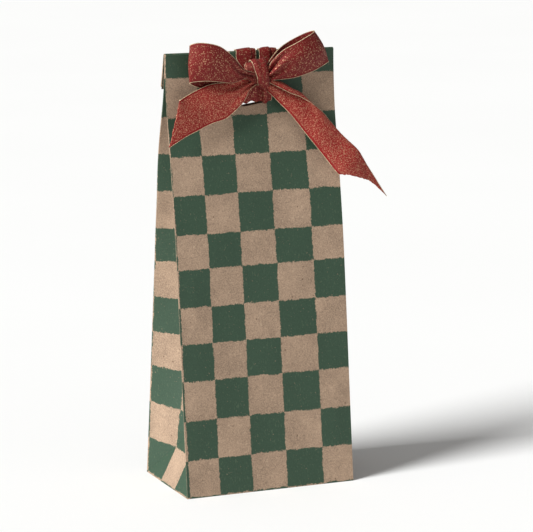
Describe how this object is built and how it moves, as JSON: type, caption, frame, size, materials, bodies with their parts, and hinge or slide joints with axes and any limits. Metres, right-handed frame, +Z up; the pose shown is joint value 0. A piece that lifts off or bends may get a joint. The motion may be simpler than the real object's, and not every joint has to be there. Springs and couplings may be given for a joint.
{
  "type": "wine gift bag",
  "caption": "Tall block-bottom kraft paper bottle bag with a printed check, folded over at the top and tied through a slot with a glitter ribbon bow.",
  "frame": {"origin": "middle of the bag's base, on the surface it stands on", "axes": "+Z up the bag, the front panel with the bow faces -Y, +X to the right as seen from the front"},
  "size_m": [0.181, 0.088, 0.351],
  "materials": {
    "printed_kraft": "matt uncoated kraft with block-printed green check",
    "glitter_ribbon": "woven red ribbon with gold lurex glitter",
    "gold_thread": "metallised edge stitching"
  },
  "bodies": {
    "bag": {"front_panel": "printed_kraft", "back_panel": "printed_kraft", "seam_lap": "printed_kraft", "left_gusset_front": "printed_kraft", "left_gusset_back": "printed_kraft", "left_gusset_foot": "printed_kraft", "right_gusset_front": "printed_kraft", "right_gusset_back": "printed_kraft", "right_gusset_foot": "printed_kraft", "left_base_tuck": "printed_kraft", "right_base_tuck": "printed_kraft", "front_base_flap": "printed_kraft", "back_base_flap": "printed_kraft", "ribbon_left_strand": "glitter_ribbon", "ribbon_right_strand": "glitter_ribbon", "ribbon_slot_bight": "glitter_ribbon", "knot_core": "glitter_ribbon", "knot_wrap": "glitter_ribbon"},
    "top_flap": {"top_flap_outer_ply": "printed_kraft", "top_flap_inner_ply": "printed_kraft", "top_flap_left_gusset": "printed_kraft", "top_flap_right_gusset": "printed_kraft"},
    "left_loop": {"left_loop": "glitter_ribbon"},
    "right_loop": {"right_loop": "glitter_ribbon"},
    "left_tail": {"left_tail": "glitter_ribbon"},
    "right_tail": {"right_tail": "glitter_ribbon"}
  },
  "joints": [
    {"name": "top_flap_press", "type": "hinge", "parent": "bag", "child": "top_flap", "pos_m": [0, 0, 0.3352], "axis": [1, 0, 0], "range_deg": [-8, 0]},
    {"name": "left_loop_swing", "type": "hinge", "parent": "bag", "child": "left_loop", "pos_m": [-0.008, -0.009, 0.32], "axis": [0, 0, 1], "range_deg": [0, 25]},
    {"name": "right_loop_swing", "type": "hinge", "parent": "bag", "child": "right_loop", "pos_m": [0.013, -0.009, 0.32], "axis": [0, 0, -1], "range_deg": [0, 25]},
    {"name": "left_tail_lift", "type": "hinge", "parent": "bag", "child": "left_tail", "pos_m": [-0.004, -0.0065, 0.311], "axis": [-1, 0, 0], "range_deg": [0, 35]},
    {"name": "right_tail_lift", "type": "hinge", "parent": "bag", "child": "right_tail", "pos_m": [0.012, -0.007, 0.309], "axis": [-1, 0, 0], "range_deg": [0, 35]}
  ]
}
